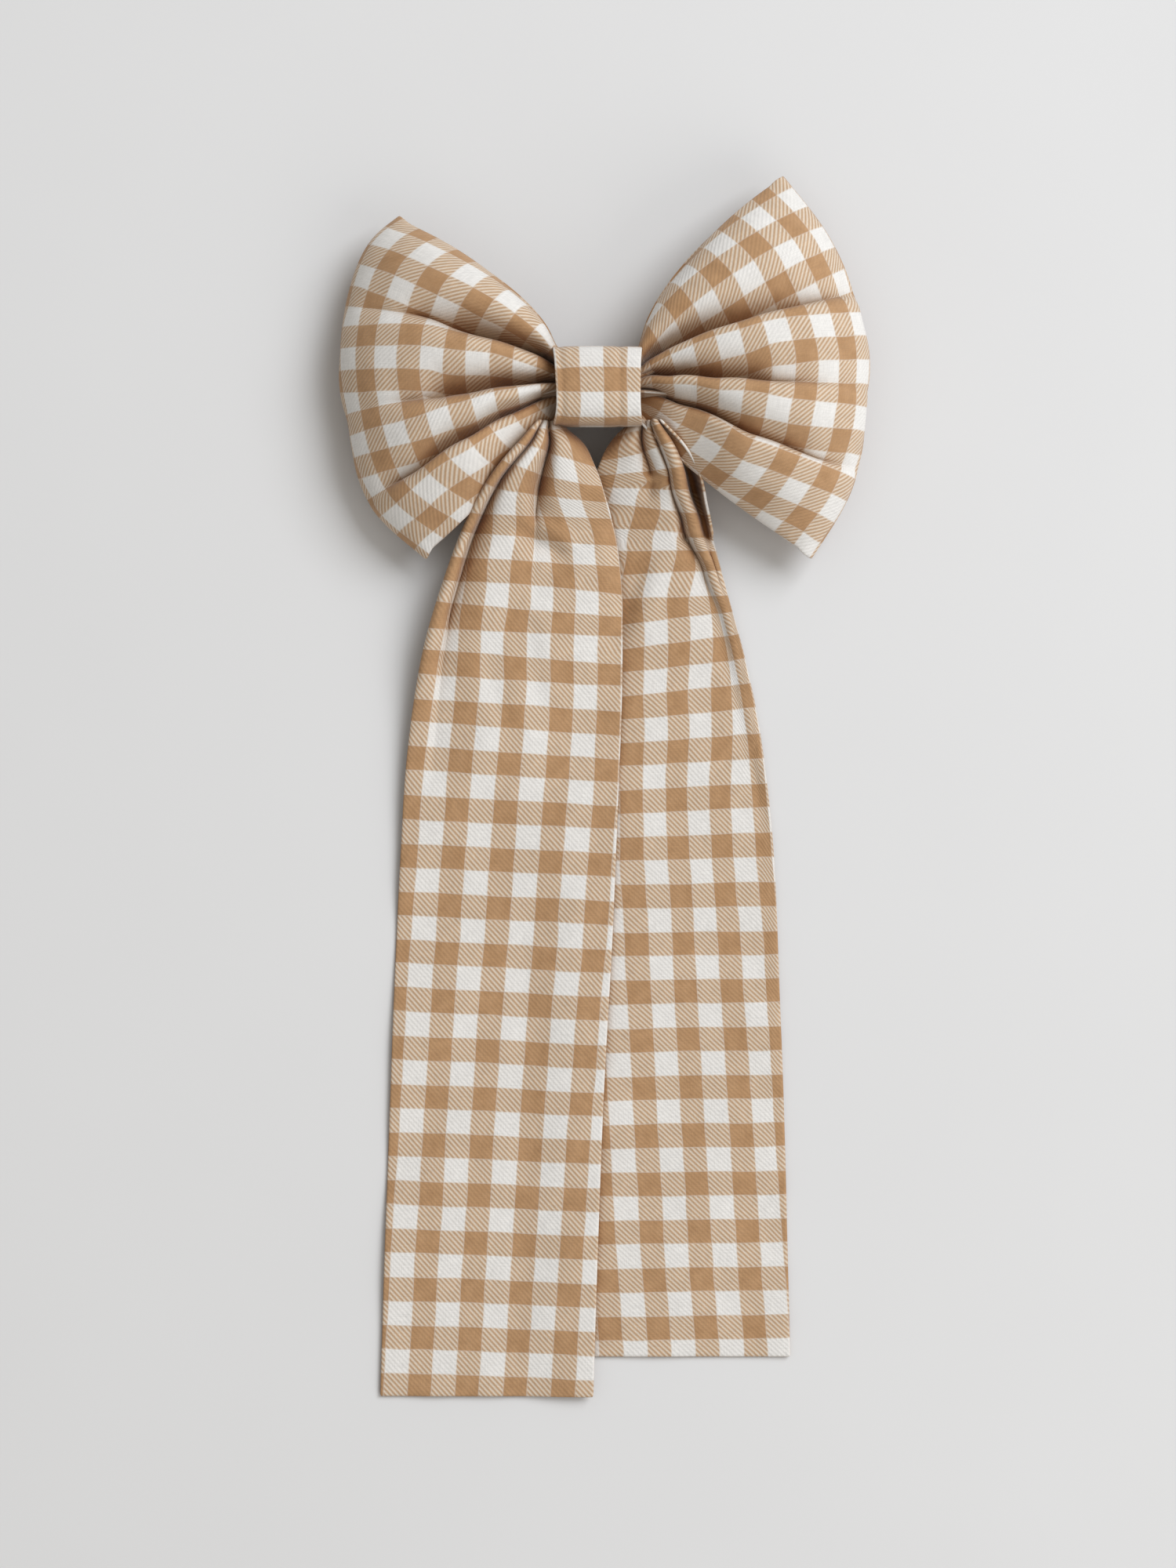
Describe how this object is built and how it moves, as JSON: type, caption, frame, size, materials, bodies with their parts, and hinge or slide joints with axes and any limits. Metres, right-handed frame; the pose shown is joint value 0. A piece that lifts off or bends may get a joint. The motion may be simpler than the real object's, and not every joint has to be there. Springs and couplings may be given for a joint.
{
  "type": "long-tail hair bow",
  "caption": "Long-tail hair bow of checked cotton: pleated loops, a wrapped knot and flat hanging tails, bound to a spring hair clip that opens at the back.",
  "frame": {"origin": "on the surface the bow lies on, under the middle of the knot and of the hair clip", "axes": "+Z out of the bow's front, -Y along the tails, X from the left loop to the right loop"},
  "size_m": [0.139, 0.3225, 0.029],
  "materials": {
    "gingham": "woven cotton twill in beige and white checks",
    "thread": "polyester sewing thread",
    "clip_steel": "nickel-plated pressed steel",
    "spring_steel": "nickel-plated spring steel",
    "pin_steel": "bright steel wire"
  },
  "bodies": {
    "bow": {"left_loop": "gingham", "right_loop": "gingham", "knot_band": "gingham", "band_stitches": "thread", "binding_thread": "thread", "barrette_plate": "clip_steel", "hinge_pin": "pin_steel", "clasp_base": "clip_steel", "clasp_pins": "pin_steel", "clasp_rivet": "pin_steel"},
    "arm": {"barrette_arm": "clip_steel"},
    "bar": {"tension_bar": "spring_steel"},
    "tab_top": {"clasp_tab_top": "spring_steel"},
    "tab_bottom": {"clasp_tab_bottom": "spring_steel"},
    "tail_left": {"left_tail": "gingham"},
    "tail_right": {"right_tail": "gingham"}
  },
  "joints": [
    {"name": "clip_opening", "type": "hinge", "parent": "bow", "child": "arm", "pos_m": [-0.038, 0, 0.0017], "axis": [0, 1, 0], "range_deg": [0, 75]},
    {"name": "tension_flex", "type": "hinge", "parent": "bow", "child": "bar", "pos_m": [-0.038, 0, 0.0017], "axis": [0, -1, 0], "range_deg": [0, 1.5], "stiffness_Nm_per_rad": 0.3},
    {"name": "clasp_pinch", "type": "hinge", "parent": "bow", "child": "tab_top", "pos_m": [0.0379, 0.0024, 0.0025], "axis": [1, 0, 0], "range_deg": [0, 10], "stiffness_Nm_per_rad": 0.002},
    {"name": "clasp_pinch_bottom", "type": "hinge", "parent": "bow", "child": "tab_bottom", "pos_m": [0.0379, -0.0024, 0.0025], "axis": [1, 0, 0], "range_deg": [-10, 0], "stiffness_Nm_per_rad": 0.002},
    {"name": "left_tail_swing", "type": "hinge", "parent": "bow", "child": "tail_left", "pos_m": [-0.009, -0.011, 0.01], "axis": [0, 0, 1], "range_deg": [-8, 0]},
    {"name": "right_tail_swing", "type": "hinge", "parent": "bow", "child": "tail_right", "pos_m": [0.008, -0.011, 0.01], "axis": [0, 0, 1], "range_deg": [0, 12]}
  ],
  "couplings": [
    {"joint": "clasp_pinch_bottom", "follows": "clasp_pinch", "ratio": -1}
  ]
}
